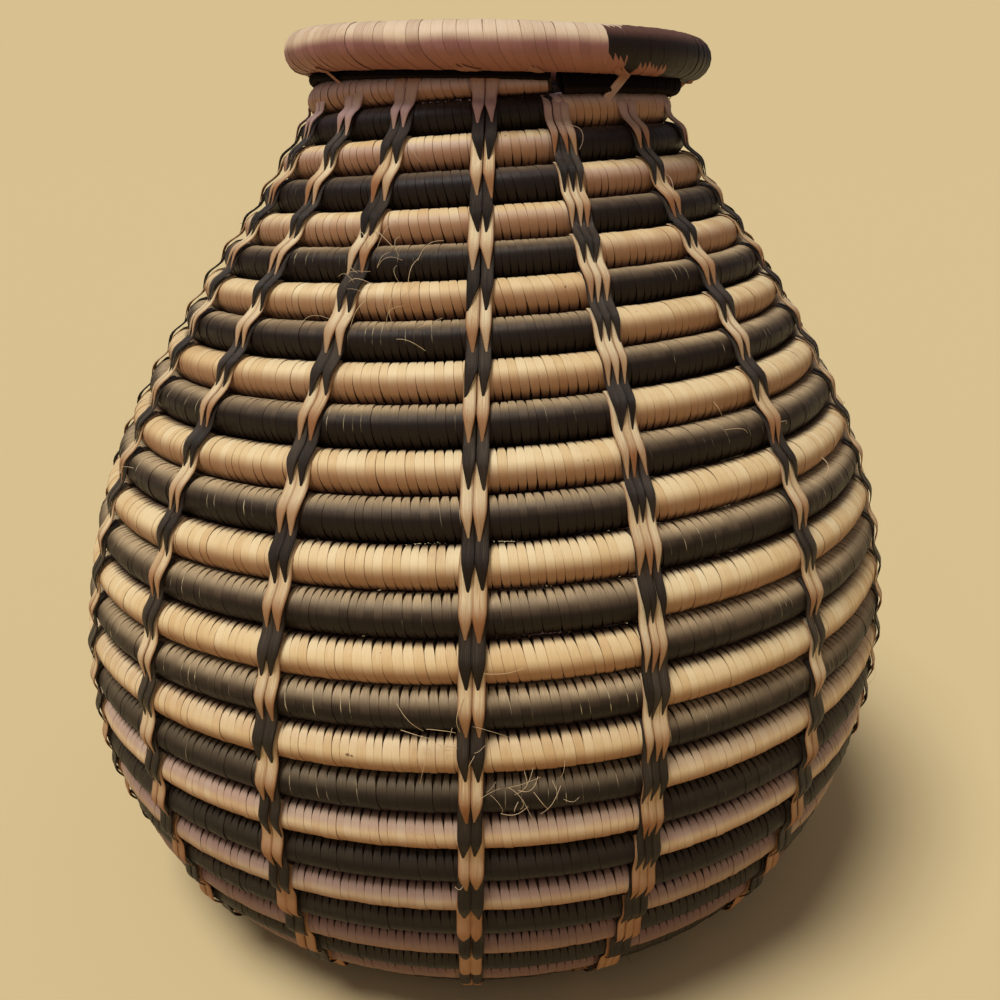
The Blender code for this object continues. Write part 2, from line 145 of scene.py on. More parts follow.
def placed(angle, radius, height):
    """A point of the basket, leaned and tilted as it stands."""
    tilt = math.tan(math.radians(ROW_TILT)) * np.interp(height / NECK_HEIGHT, *np.array(TILT_SHARES).T)
    across = radius * math.sin(angle)
    return Vector((across + LEAN_RISE_SHARE * height, -radius * math.cos(angle), height + tilt * across))


def on_coil(turn):
    """The coil's centre at a turn."""
    return placed(math.radians(SEAM_ANGLE) + 2 * math.pi * turn, *profile(turn))


def half_thickness(turn):
    """Half the coil's thickness at a turn, so that it touches its neighbours."""
    here = on_coil(turn)
    below = (here - on_coil(turn - 1)).length if turn - 1 >= -BASE_TURNS else None
    above = (here - on_coil(turn + 1)).length if turn + 1 <= WALL_TURNS else None
    if turn > WALL_TURNS - 1:
        return math.dist(plain_profile(turn), plain_profile(turn - 1)) / 2 * end_taper(turn)
    if turn > WALL_TURNS - 2:
        return min(below / 2, above - half_thickness(turn + 1))
    return min(gap for gap in (below, above, 2 * FOOT_HEIGHT if turn < 0 else above) if gap) / 2


def coil_frame(turn):
    """Where the coil is at a turn, the way it runs, and the way out of the wall."""
    along = (on_coil(turn + NEXT_TURN_STEP) - on_coil(turn - NEXT_TURN_STEP)).normalized()
    above = turn + 1 if turn + 1 <= WALL_TURNS else turn
    below = turn - 1 if turn - 1 >= -BASE_TURNS else turn
    outward = along.cross(on_coil(above) - on_coil(below)).normalized()
    return on_coil(turn), along, outward


class Socket:
    """An output in a node tree. A sum written on it adds the nodes that work it out."""

    def __init__(self, tree, output=None):
        self.tree = tree
        self.output = output

    def node(self, kind, settings=None, sockets=None, output=0):
        """Add a node: its settings first, then the values or links of its sockets."""
        made = self.tree.nodes.new(kind)
        for name, value in (settings or {}).items():
            if name == "stops":
                made.color_ramp.elements[0].position, made.color_ramp.elements[0].color = value[0]
                made.color_ramp.elements[1].position, made.color_ramp.elements[1].color = value[-1]
                for place, colour in value[1:-1]:
                    made.color_ramp.elements.new(place).color = colour
            else:
                setattr(made, name, value)
        for name, value in (sockets or {}).items():
            if isinstance(value, Socket):
                self.tree.links.new(value.output, made.inputs[name])
            else:
                made.inputs[name].default_value = value
        return Socket(self.tree, made.outputs[output])

    def sibling(self, output):
        """Another output of the same node."""
        return Socket(self.tree, self.output.node.outputs[output])

    def maths(self, operation, first, second=0.0):
        """A Math node on two values."""
        return self.node("ShaderNodeMath", {"operation": operation}, {0: first, 1: second})

    def __add__(self, other):
        return self.maths("ADD", self, other)

    __radd__ = __add__

    def __sub__(self, other):
        return self.maths("SUBTRACT", self, other)

    def __rsub__(self, other):
        return self.maths("SUBTRACT", other, self)

    def __mul__(self, other):
        return self.maths("MULTIPLY", self, other)

    __rmul__ = __mul__

    def __gt__(self, other):
        return self.maths("GREATER_THAN", self, other)

    def __lt__(self, other):
        return self.maths("LESS_THAN", self, other)

    def __abs__(self):
        return self.maths("ABSOLUTE", self)

    def most(self, other):
        """The greater of two values."""
        return self.maths("MAXIMUM", self, other)

    def scaled(self, factor):
        """This vector made longer or shorter."""
        return self.node("ShaderNodeVectorMath", {"operation": "SCALE"}, {0: self, 3: factor})

    def parts(self):
        """The three parts of this vector."""
        first = self.node("ShaderNodeSeparateXYZ", None, {0: self})
        return first, first.sibling(1), first.sibling(2)

    def blend(self, share, first, second):
        """A colour between two."""
        return self.node("ShaderNodeMix", {"data_type": "RGBA"}, {0: share, 6: first, 7: second}, 2)

    def under(self, *layers):
        """This colour with others laid over it, each by its share."""
        colour = self
        for share, over in layers:
            colour = self.blend(share, colour, over)
        return colour

    def combined(self, x, y, z):
        """A vector from three values."""
        return self.node("ShaderNodeCombineXYZ", None, {0: x, 1: y, 2: z})

    def place(self):
        """Object coordinates, in a material."""
        return self.node("ShaderNodeTexCoord", None, None, 3)

    def noise(self, scale, detail, roughness=0.5):
        """Noise at this place."""
        return self.node("ShaderNodeTexNoise", None, {
            "Vector": self, "Scale": scale, "Detail": detail, "Roughness": roughness,
        })

    def ramp(self, stops):
        """A colour for this value, from stops that each have a place and a colour."""
        return self.node("ShaderNodeValToRGB", {"stops": stops}, {0: self})

    def carried(self, label, output=2):
        """What the surface carries under a name, in a material."""
        return self.node("ShaderNodeAttribute", {"attribute_name": label}, None, output)

    def stored(self, label, kind="FLOAT"):
        """What a point carries under a name, in a geometry tree."""
        return self.node("GeometryNodeInputNamedAttribute", {"data_type": kind}, {0: label})

    def between(self, low, high):
        """Smooth 0 to 1 as this value goes from low to high."""
        return self.node(
            "ShaderNodeMapRange", {"interpolation_type": "SMOOTHSTEP"}, {0: self, 1: low, 2: high}
        )


def new_tree(name, inputs):
    """A geometry tree with named inputs, each given by its kind and value."""
    tree = bpy.data.node_groups.new(name, "GeometryNodeTree")
    tree.interface.new_socket("Geometry", in_out="INPUT", socket_type="NodeSocketGeometry")
    for label, (kind, value) in inputs.items():
        socket = tree.interface.new_socket(label, in_out="INPUT", socket_type=kind)
        if value is not None:
            socket.default_value = value
    tree.interface.new_socket("Geometry", in_out="OUTPUT", socket_type="NodeSocketGeometry")
    entry = tree.nodes.new("NodeGroupInput")
    return tree, {socket.name: Socket(tree, socket) for socket in entry.outputs if socket.name}


def finish_tree(shape, material):
    """End a tree: instances made real, shaded smooth, with their material."""
    real = shape.node("GeometryNodeRealizeInstances", None, {0: shape})
    smooth = shape.node("GeometryNodeSetShadeSmooth", None, {0: real})
    dressed = shape.node("GeometryNodeSetMaterial", None, {0: smooth, 2: material})
    end = shape.tree.nodes.new("NodeGroupOutput")
    shape.tree.links.new(dressed.output, end.inputs[0])


# What guides a tree, and comes off the finished mesh
GUIDES = ("half", "wide", "along", "outward", "slant")


def grown(name, start, tree, values):
    """The plain mesh that a tree makes from a starting mesh, as an object."""
    item = bpy.data.objects.new(name, start)
    bpy.context.scene.collection.objects.link(item)
    modifier = item.modifiers.new(tree.name, "NODES")
    modifier.node_group = tree
    for socket in tree.interface.items_tree:
        if socket.name in values:
            modifier[socket.identifier] = values[socket.name]
    graph = bpy.context.evaluated_depsgraph_get()
    made = item.evaluated_get(graph)
    mesh = bpy.data.meshes.new_from_object(made, preserve_all_data_layers=True, depsgraph=graph)
    item.modifiers.remove(modifier)
    for label in GUIDES:
        if label in mesh.attributes:
            mesh.attributes.remove(mesh.attributes[label])
    item.data = mesh
    return item


def path_mesh(name, lines, **values):
    """Open lines of points as one mesh, with named values at the points."""
    mesh = bpy.data.meshes.new(name)
    points = [point for line in lines for point in line]
    edges = []
    first = 0
    for line in lines:
        edges += [(index, index + 1) for index in range(first, first + len(line) - 1)]
        first += len(line)
    mesh.from_pydata(points, edges, [])
    for label, numbers in values.items():
        numbers = np.array(numbers, dtype=float)
        kind, field = ("FLOAT_VECTOR", "vector") if numbers.ndim == 2 else ("FLOAT", "value")
        mesh.attributes.new(label, kind, "POINT").data.foreach_set(field, numbers.ravel())
    return mesh


# The bundle inside the strip, as a share of the coil's thickness
CORE_SHARE = 0.86
CORE_SIDES = 10
POINTS_PER_TURN = 72
# The grass is dark brown, made near black as painted shade where it shows between strips
GRASS_DARK = (0.012, 0.006, 0.004, 1.0)
GRASS_LIGHT = (0.075, 0.040, 0.020, 1.0)
STEM_SCALE = 900.0
STEM_RELIEF = 0.0003
SHINE = 0.3


def bundle_tree():
    """A tree that thickens a path to a round bundle."""
    tree, given = new_tree("grass_bundle", {
        "Sides": ("NodeSocketInt", CORE_SIDES),
        "Thickness": ("NodeSocketFloat", CORE_SHARE),
        "Grass": ("NodeSocketMaterial", None),
    })
    start = given["Geometry"]
    path = start.node("GeometryNodeMeshToCurve", None, {0: start})
    ring = start.node("GeometryNodeCurvePrimitiveCircle", None, {0: given["Sides"], 4: 1.0})
    tube = start.node("GeometryNodeCurveToMesh", None, {
        0: path, 1: ring, 2: start.stored("half") * given["Thickness"], 3: True,
    })
    finish_tree(tube, given["Grass"])
    return tree


def new_material(name):
    """A new material, and a way to add nodes to it."""
    material = bpy.data.materials.new(name)
    material.use_nodes = True
    return material, Socket(material.node_tree)


def dress(material, colour, roughness, height, strength, depth, shine=SHINE):
    """Join a colour, a roughness and a relief to a material."""
    tree = material.node_tree
    shader = tree.nodes["Principled BSDF"]
    shader.inputs["Specular IOR Level"].default_value = shine
    tree.links.new(colour.output, shader.inputs["Base Color"])
    tree.links.new(roughness.output, shader.inputs["Roughness"])
    relief = colour.node("ShaderNodeBump", None, {
        "Strength": strength, "Distance": depth, "Height": height,
    })
    tree.links.new(relief.output, shader.inputs["Normal"])
    return material


def dry_grass():
    """Dry grass, matt and broken into fine stems, dark brown to near black as painted shade where it shows
    between the strips.
    """
    material, grass = new_material("dry_grass")
    stems = grass.place().noise(STEM_SCALE, 3.0)
    colour = grass.blend(stems, GRASS_DARK, GRASS_LIGHT)
    return dress(material, colour, 0.98 - stems * 0.15, stems, 0.5, STEM_RELIEF)


GRASS = dry_grass()
BUNDLE_TREE = bundle_tree()

turns = np.linspace(-BASE_TURNS, WALL_TURNS, (BASE_TURNS + WALL_TURNS) * POINTS_PER_TURN)
grass_path = path_mesh(
    "grass_path", [[on_coil(turn) for turn in turns]], half=[half_thickness(turn) for turn in turns]
)
grass = grown("grass_coil", grass_path, BUNDLE_TREE, {
    "Sides": CORE_SIDES, "Thickness": CORE_SHARE, "Grass": GRASS,
})
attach(grass, "root")

# The base: the first seven turns of the coil, laid flat and wrapped in undyed
# palm strip. The strip is stiff. It lies flat on the outside, folds at a ridge
# below the middle, and narrows to round fingers where two rows meet.
STRIP_WIDTH = 0.0021
STRIP_DRIFT = 0.16
STRIP_UNEVENNESS = 0.10
STRIPS_PER_DRIFT = 11
STRIP_OVERLAP = 1.03
STRIP_SLANT = 0.00045
SLANT_DRIFT = 1.4
SLANT_UNEVENNESS = 0.35
STRIP_LOWER_LEAN = 0.00035
STRIP_LOOSENESS = 0.016
STRIP_SPREAD = 0.055
FLOOR_CLEARANCE = 0.0001
# Round the coil, in degrees up from the outside: how far out the strip lies, as
# a share of half the coil's thickness, and how much it is pinched to a finger
STRIP_LINE = (
    (-90, 0.992, 0.4), (-72, 0.985, 0.6), (-54, 0.980, 0.25), (-36, 0.990, 0.0), (-20, 1.012, 0.0),
    (-6, 1.014, 0.0), (9, 1.000, 0.0), (25, 0.984, 0.0), (41, 0.978, 0.18), (57, 0.978, 0.60),
    (73, 0.984, 1.0), (92, 0.994, 0.6), (128, 0.990, 0.3), (180, 0.985, 0.3), (232, 0.990, 0.3),
)
# Across the strip, as shares of its width: its edge and its face, and what a
# finger takes off them. Then how deep the edge lies, as a share of half the coil
EDGE_PLACE = 0.515
FACE_PLACE = 0.468
EDGE_PINCH = 0.12
FACE_PINCH = 0.21
EDGE_DEPTH = 0.022
PINCHED_DEPTH = 0.070


def strip_ring(name, line, edge_depth):
    """One turn of strip round a coil of half thickness 1: a closed band, its face flat."""
    shape = bmesh.new()
    carried = shape.verts.layers.float_vector.new("strip")
    rings = []
    for degrees, reach, pinch in line:
        angle = math.radians(degrees)
        edge, face = EDGE_PLACE - EDGE_PINCH * pinch, FACE_PLACE - FACE_PINCH * pinch
        low = reach - edge_depth - PINCHED_DEPTH * pinch
        ring = []
        for across, out in ((-edge, low), (-face, reach), (face, reach), (edge, low)):
            corner = shape.verts.new((out * math.cos(angle), -out * math.sin(angle), across))
            corner[carried] = (math.cos(angle), math.sin(angle), across)
            ring.append(corner)
        rings.append(ring)
    for low, high in zip(rings, rings[1:] + rings[:1]):
        for index in range(4):
            following = (index + 1) % 4
            shape.faces.new((low[index], high[index], high[following], low[following]))
        for index in (1, 2):
            shape.edges.get((low[index], high[index])).smooth = False
    bmesh.ops.recalc_face_normals(shape, faces=shape.faces)
    mesh = bpy.data.meshes.new(name)
    shape.to_mesh(mesh)
    shape.free()
    return bpy.data.objects.new(name, mesh)


def wrapping_tree():
    """A tree that lays turns of strip round points, each as wide as its point says."""
    tree, given = new_tree("strip_wrapping", {
        "Ring": ("NodeSocketObject", None),
        "Overlap": ("NodeSocketFloat", STRIP_OVERLAP),
        "Looseness": ("NodeSocketFloat", STRIP_LOOSENESS),
        "Lower Lean": ("NodeSocketFloat", STRIP_LOWER_LEAN),
        "Spread": ("NodeSocketFloat", STRIP_SPREAD),
        "Floor": ("NodeSocketFloat", FLOOR_CLEARANCE),
        "Seed": ("NodeSocketInt", 0),
        "Strip": ("NodeSocketMaterial", None),
    })
    start = given["Geometry"]
    along = start.stored("along", "FLOAT_VECTOR")
    outward = start.stored("outward", "FLOAT_VECTOR")
    upright = start.node("FunctionNodeAxesToRotation", None, {0: along, 1: outward})
    tone = start.node("FunctionNodeRandomValue", None, {2: 0.0, 3: 1.0, 8: given["Seed"]}, 1)
    puff = start.node("FunctionNodeRandomValue", None, {2: -1.0, 3: 1.0, 8: given["Seed"] + 1}, 1)
    points = start.node("GeometryNodeStoreNamedAttribute", None, {0: start, 2: "tone", 3: tone})
    ring = start.node("GeometryNodeObjectInfo", None, {0: given["Ring"]}, 4)
    size = start.stored("half") * (1 + given["Looseness"] * puff)
    strips = start.node("GeometryNodeInstanceOnPoints", None, {
        0: points, 2: ring, 5: upright,
        6: start.combined(size, size, start.stored("wide") * given["Overlap"]),
    })
    real = start.node("GeometryNodeRealizeInstances", None, {0: strips})
    out, upward, across = start.stored("strip", "FLOAT_VECTOR").parts()
    below = (0 - upward).most(0.0)
    spread = given["Spread"] * start.stored("wide") * across * out
    shift = given["Lower Lean"] * below * below - start.stored("slant") * upward + spread
    leaned = start.node("GeometryNodeSetPosition", None, {0: real, 3: along.scaled(shift)})
    x, y, z = start.node("GeometryNodeInputPosition").parts()
    pressed = start.node("GeometryNodeSetPosition", None, {
        0: leaned, 2: start.combined(x, y, z.most(given["Floor"])),
    })
    finish_tree(pressed, given["Strip"])
    return tree


def strip_widths(length, width, seed):
    """Widths of the strips that fill a length, broad in one place and narrow in the next."""
    rng = np.random.default_rng(seed)
    count = max(round(length / width), 2)
    knots = max(count // STRIPS_PER_DRIFT, 2)
    drift = np.interp(np.linspace(0, 1, count), np.linspace(0, 1, knots), rng.uniform(-1, 1, knots))
    widths = 1 + STRIP_DRIFT * drift + STRIP_UNEVENNESS * rng.uniform(-1, 1, count)
    return widths * length / widths.sum(), drift, rng


def wrapped_along(
    name, frames, halves, material, seed, width, ring, lean=STRIP_LOWER_LEAN, spread=STRIP_SPREAD
):
    """Strip wound on a way that is given by its frames and half thicknesses."""
    points = np.array([tuple(here) for here, _, _ in frames])
    lengths = np.concatenate(([0], np.cumsum(np.linalg.norm(np.diff(points, axis=0), axis=1))))
    widths, drift, rng = strip_widths(lengths[-1], width, seed)
    centres = np.cumsum(widths) - widths / 2
    guides = {"half": np.interp(centres, lengths, halves), "wide": widths, "drift": drift * 0.5 + 0.5}
    for label, column in (("along", 1), ("outward", 2)):
        ways = np.array([tuple(each[column]) for each in frames])
        guides[label] = np.array([np.interp(centres, lengths, part) for part in ways.T]).T
    uneven = rng.uniform(-1, 1, len(widths))
    guides["slant"] = STRIP_SLANT * (1 + SLANT_DRIFT * drift + SLANT_UNEVENNESS * uneven)
    places = np.array([np.interp(centres, lengths, part) for part in points.T]).T
    return grown(name, path_mesh(f"{name}_way", [places.tolist()], **guides), WRAPPING_TREE, {
        "Ring": ring, "Overlap": STRIP_OVERLAP, "Looseness": STRIP_LOOSENESS,
        "Lower Lean": lean, "Spread": spread, "Floor": FLOOR_CLEARANCE, "Seed": seed, "Strip": material,
    })


def wrapped(name, first, last, material, seed):
    """The stretch of coil between two turns, wrapped in strip."""
    turns = np.linspace(first, last, int((last - first) * POINTS_PER_TURN) + 1)
    inner = np.clip(turns, NEXT_TURN_STEP - BASE_TURNS, WALL_TURNS - NEXT_TURN_STEP)
    frames = [coil_frame(turn) for turn in inner]
    halves = [half_thickness(turn) for turn in turns]
    return wrapped_along(name, frames, halves, material, seed, STRIP_WIDTH, WALL_RING)


# The palm's fibres, long round the coil and fine across the strip
FIBRE_AROUND = 0.5
FIBRE_ACROSS = 8.0
FIBRE_TONE_STEP = 91.0
FIBRE_SCALE = 2.2
PALM_RELIEF = 0.00020
STRAW = (
    (0.0, (0.88, 0.70, 0.42, 1)), (0.40, (0.78, 0.56, 0.29, 1)),
    (0.75, (0.66, 0.41, 0.18, 1)), (1.0, (0.46, 0.22, 0.08, 1)),
)
# Colours of painted shade: mauve and dim mauve low down, rose at the neck and under the rim, brown below
# the ridge and in the grooves
MAUVE_SHADE = (0.36, 0.225, 0.215, 1)
DIM_MAUVE_SHADE = (0.150, 0.070, 0.060, 1)
ROSE_SHADE = (0.42, 0.28, 0.31, 1)
FOLD_SHADE = (0.29, 0.120, 0.055, 1)
GROOVE_SHADE_AND_DUST = (0.075, 0.032, 0.022, 1)
JOINT_BROWN = (0.22, 0.110, 0.050, 1)
STAIN_BROWN = (0.42, 0.21, 0.09, 1)
SPECK_BROWN = (0.12, 0.055, 0.03, 1)
# Heights between which the painted shades come in: the mauves low down, a veil of rose at the neck, the
# full rose under the rim
MAUVE_SHADE_HEIGHTS = (0.110, 0.066)
DIM_SHADE_HEIGHTS = (0.074, 0.030)
NECK_SHADE_HEIGHTS = (0.190, 0.225)
ROSE_SHADE_HEIGHTS = (0.231, 0.239)
# Noise scales of the ripening, the stains and the specks
RIPE_SCALE = 16.0
STAIN_SCALE = 62.0
SPECK_SCALE = 520.0


def strip_values(palm):
    """What the strip carries: its tone, its drift, its three directions, its fibres."""
    outward, upward, across = palm.carried("strip", 1).parts()
    tone = palm.carried("tone")
    fine = across * FIBRE_ACROSS + tone * FIBRE_TONE_STEP
    fibres = palm.combined(outward * FIBRE_AROUND, upward * FIBRE_AROUND, fine).noise(FIBRE_SCALE, 5.0, 0.6)
    return tone, palm.carried("drift"), outward, upward, across, fibres


def natural_colour(palm, values):
    """Straw to tan, brown in joints and stains; painted shade: mauve low down, rose at the neck, brown
    below the ridge, dark in the grooves with dust.
    """
    tone, drift, _, upward, across, fibres = values
    place = palm.place()
    _, _, height = place.parts()
    ripe = place.noise(RIPE_SCALE, 1.0)
    stain = place.noise(STAIN_SCALE, 5.0)
    speck = place.noise(SPECK_SCALE, 2.0)
    straw = (tone * 0.34 + drift * 0.14 + ripe * 0.50 + (fibres - 0.5) * 0.95 - 0.10).ramp(STRAW)
    # Painted shade: a veil of rose on the lower half of the rows at the neck
    neck_shade = height.between(*NECK_SHADE_HEIGHTS) * upward.between(0.40, -0.05) * 0.50
    return straw.under(
        # Painted shade: mauve where the belly shades the low rows, darker still towards the foot
        (height.between(*MAUVE_SHADE_HEIGHTS) * (0.30 + upward.between(0.15, 0.55) * 0.48), MAUVE_SHADE),
        (height.between(*DIM_SHADE_HEIGHTS) * 0.92, DIM_MAUVE_SHADE),
        # Painted shade: rose at the neck, and full rose on the last row under the rim
        (neck_shade.most(height.between(*ROSE_SHADE_HEIGHTS) * 0.88), ROSE_SHADE),
        # Painted shade: brown below each row's ridge, on the side turned from the light
        ((0.0 - upward).between(-0.20, 0.50) * 0.82, FOLD_SHADE),
        # Painted shade and dust: dark in the grooves between rows
        (abs(upward).between(0.72, 0.98) * 0.92, GROOVE_SHADE_AND_DUST),
        (abs(across).between(0.430, 0.492) * (0.25 + tone * 0.60), JOINT_BROWN),
        (stain.between(0.58, 0.78) * 0.45, STAIN_BROWN),
        (speck.between(0.745, 0.79) * 0.8, SPECK_BROWN),
    )


def strip_palm(name, colouring, roughness, gloss, relief, depth=PALM_RELIEF, shine=SHINE):
    """Palm strip of one colouring. Its fibres gloss it and stand up from it."""
    material, palm = new_material(name)
    values = strip_values(palm)
    fibres = values[-1]
    return dress(
        material, colouring(palm, values), roughness - fibres * gloss, fibres, relief, depth, shine
    )


NATURAL_PALM = strip_palm("natural_palm_strip", natural_colour, 0.62, 0.18, 0.45)
WRAPPING_TREE = wrapping_tree()
WALL_RING = strip_ring("wall_ring", STRIP_LINE, EDGE_DEPTH)

base = wrapped("base_wrapping", -BASE_TURNS, 0, NATURAL_PALM, 1)
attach(base, "root")
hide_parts("base_coil")

# The start of the coil: a tight ring of wrapped grass in the middle of the base,
# round which the first turn is sewn.
START_RING = 0.0030
START_HALF = 0.0029
START_POINTS = 25
start_frames = []
for turned in np.linspace(0, 2 * math.pi, START_POINTS):
    here = Vector((START_RING * math.sin(turned), -START_RING * math.cos(turned), FOOT_HEIGHT))
    along = Vector((math.cos(turned), math.sin(turned), 0))
    start_frames.append((here, along, Vector((0, 0, -1))))
start = wrapped_along(
    "start_wrapping", start_frames, [START_HALF] * START_POINTS, NATURAL_PALM, 2, STRIP_WIDTH, WALL_RING
)
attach(start, "root")
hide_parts("coil_start")

# The wall: twenty-eight rows of the same coil. The strip changes between
# undyed and brown-black each time the coil passes the seam, right of the
# front, so the rows read as stripes with a step at the seam.
WALL_SEED = 10
DYED_RELIEF = 0.00022
DYED_SHINE = 0.16
DYE = (
    (0.0, (0.150, 0.100, 0.060, 1)), (0.35, (0.085, 0.055, 0.032, 1)),
    (0.7, (0.038, 0.023, 0.014, 1)), (1.0, (0.014, 0.008, 0.005, 1)),
)
# Painted sheen in olive, then blacks of painted shade: low down, at the neck, under the rim, below the
# ridge
SHEEN_OLIVE = (0.60, 0.43, 0.24, 1)
LOW_SHADE_BLACK = (0.009, 0.006, 0.005, 1)
NECK_SHADE_BLACK = (0.020, 0.013, 0.016, 1)
SEAT_SHADE_BLACK = (0.002, 0.001, 0.002, 1)
FOLD_SHADE_BLACK = (0.013, 0.008, 0.006, 1)
JOINT_BLACK = (0.014, 0.009, 0.007, 1)
PALE_EDGE = (0.52, 0.42, 0.25, 1)
# Heights between which each black of painted shade comes in, and the pale edges fade out
LOW_SHADE_BLACK_HEIGHTS = (0.118, 0.074)
NECK_SHADE_BLACK_HEIGHTS = (0.200, 0.230)
SEAT_SHADE_BLACK_HEIGHTS = (0.2350, 0.2375)
PALE_TOP_HEIGHTS = (0.225, 0.195)
PALE_LOW_HEIGHTS = (0.070, 0.095)
# Noise scales of the worn patches, and of the nicks that break a pale edge
PATCH_SCALE = 38.0
NICK_SCALE = 330.0


def dyed_colour(palm, values):
    """Brown-black with pale edges on some strips; painted sheen in olive on top, painted shade in black low
    down, at the neck, under the rim and below the ridge.
    """
    tone, _, _, upward, across, fibres = values
    place = palm.place()
    _, _, height = place.parts()
    patch = place.noise(PATCH_SCALE, 2.0)
    nick = place.noise(NICK_SCALE, 2.0)
    dye = (tone * 0.30 + patch * 0.55 + (fibres - 0.5) * 1.5).ramp(DYE)
    # Painted sheen: olive on the upper side, broken up in patches and along the fibres
    sheen = upward.between(0.10, 0.80) * (patch * 1.1 + tone * 0.25 + (fibres - 0.5) * 1.6 + 0.02)
    shown = upward.between(-0.55, -0.10) * upward.between(0.90, 0.70)
    some = (tone > 0.62) * patch.between(0.44, 0.60) * shown
    pale = across.between(0.395, 0.425) * some * (0.15 + nick.between(0.42, 0.58) * 0.85)
    return dye.under(
        (sheen, SHEEN_OLIVE),
        # Painted shade: black on the low rows, at the neck, under the rim and below each row's ridge
        (height.between(*LOW_SHADE_BLACK_HEIGHTS) * 0.93, LOW_SHADE_BLACK),
        (height.between(*NECK_SHADE_BLACK_HEIGHTS) * 0.90, NECK_SHADE_BLACK),
        (height.between(*SEAT_SHADE_BLACK_HEIGHTS) * 0.95, SEAT_SHADE_BLACK),
        ((0.0 - upward).between(-0.24, 0.22) * 0.93, FOLD_SHADE_BLACK),
        (abs(across).between(0.43, 0.50) * 0.5, JOINT_BLACK),
        (pale * height.between(*PALE_TOP_HEIGHTS) * height.between(*PALE_LOW_HEIGHTS), PALE_EDGE),
    )


def row_shade(row):
    """Whether the strip of a row is light or dark."""
    return "light" if (WALL_TURNS - row) % 2 == 1 else "dark"


DYED_PALM = strip_palm("dyed_palm_strip", dyed_colour, 0.52, 0.18, 0.50, DYED_RELIEF, DYED_SHINE)
ROW_PALMS = {"light": (NATURAL_PALM, "natural_palm"), "dark": (DYED_PALM, "dyed_palm")}

for row in range(WALL_TURNS):
    label = f"wall_row_{row + 1:02d}"
    palm, palm_slot = ROW_PALMS[row_shade(row)]
    wrapping = wrapped(f"{label}_wrapping", row, row + 1, palm, row + WALL_SEED)
    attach(wrapping, "root")
    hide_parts(f"{label}_{row_shade(row)}")

# The ribs: long stitches, two to a row and three at the seam, that bind each
# row to the row below. A stitch comes out of its own row, lies over the row
# below and ends in a point that lies on the next stitch and splits it in two.
FRONT_RIB_ANGLES = (-61.0, -42.0, -23.0, -0.5, 19.0, 43.0, 69.0)
BACK_RIBS = 9
LOWEST_STITCH = 2.05
# Stitches side by side, their spacing and half width, in a plain rib and at the seam
PLAIN_STITCHES = (2, 0.00298, 0.00158)
SEAM_STITCHES = (3, 0.00206, 0.00118)
STITCH_FLATNESS = 0.20
# Way down the stitch in rows, from its own row, then share of its width, lift in metres
STITCH_COURSE = (
    (-0.45, 0.80, -0.0014), (-0.26, 0.90, -0.0002), (0.0, 1.0, 0.00010), (0.17, 1.0, 0.00020),
    (0.34, 1.0, 0.00036), (0.50, 1.0, 0.00062), (0.66, 1.0, 0.00086), (0.80, 1.0, 0.00100),
    (0.92, 0.96, 0.00108), (1.04, 0.82, 0.00110), (1.16, 0.64, 0.00108), (1.28, 0.46, 0.00104),
    (1.40, 0.28, 0.00096), (1.51, 0.13, 0.00082), (1.60, 0.02, 0.00060),
)
LOWEST_POINT = 0.0006
TOP_FLARE = 0.55
FLARE_END = 0.45
GROOVE_SHARE = 0.10
# How uneven the stitches are: their sides, length, width, points and pairs
STITCH_SHIFT = 0.00014
STITCH_STRETCH = 0.05
STITCH_WIDTH_SHARE = 0.98
STITCH_WIDTH_UNEVENNESS = 0.07
TIP_SHIFT = 0.00036
TIP_START = 0.9
PAIR_SHIFT = 0.00015
# Steps in turns and in radians that give the wall's directions
WALL_STEP = 0.02
WALL_TOP_MARGIN = 0.03
# Section of a strap: thickness, then width, as shares
STRAP_SECTION = (
    (0.0, -1.0), (0.70, -0.84), (1.0, -0.50), (1.06, 0.0), (1.0, 0.50), (0.70, 0.84), (0.0, 1.0),
    (-0.6, 0.7), (-0.6, -0.7),
)


def strap_section():
    """The closed outline of a strap's section."""
    mesh = bpy.data.meshes.new("strap_section")
    corners = [(x, y, 0) for x, y in STRAP_SECTION]
    edges = [(index, (index + 1) % len(corners)) for index in range(len(corners))]
    mesh.from_pydata(corners, edges, [])
    return bpy.data.objects.new("strap_section", mesh)


def strap_tree():
    """A tree that gives lines the section of a flat strap."""
    tree, given = new_tree("straps", {
        "Section": ("NodeSocketObject", None),
        "Flatness": ("NodeSocketFloat", STITCH_FLATNESS),
        "Strip": ("NodeSocketMaterial", None),
    })
    start = given["Geometry"]
    path = start.node("GeometryNodeMeshToCurve", None, {0: start})
    path = start.node("GeometryNodeSetCurveNormal", {"mode": "FREE"}, {
        0: path, 2: start.stored("outward", "FLOAT_VECTOR"),
    })
    section = start.node("GeometryNodeObjectInfo", None, {0: given["Section"]}, 4)
    section = start.node("GeometryNodeMeshToCurve", None, {0: section})
    section = start.node("GeometryNodeStoreNamedAttribute", {"data_type": "FLOAT_VECTOR"}, {
        0: section, 2: "strip", 3: start.node("GeometryNodeInputPosition"),
    })
    flat = start.combined(given["Flatness"], 1.0, 1.0)
    section = start.node("GeometryNodeTransform", None, {0: section, 3: flat})
    strap = start.node("GeometryNodeCurveToMesh", None, {
        0: path, 1: section, 2: start.stored("half"), 3: True,
    })
    finish_tree(strap, given["Strip"])
    return tree


def rib_angles():
    """Angles of all ribs: the front ones as seen, the rest spread evenly."""
    first = FRONT_RIB_ANGLES[-1]
    step = (FRONT_RIB_ANGLES[0] + 360 - first) / (BACK_RIBS + 1)
    return [*FRONT_RIB_ANGLES, *(first + step * (index + 1) for index in range(BACK_RIBS))]


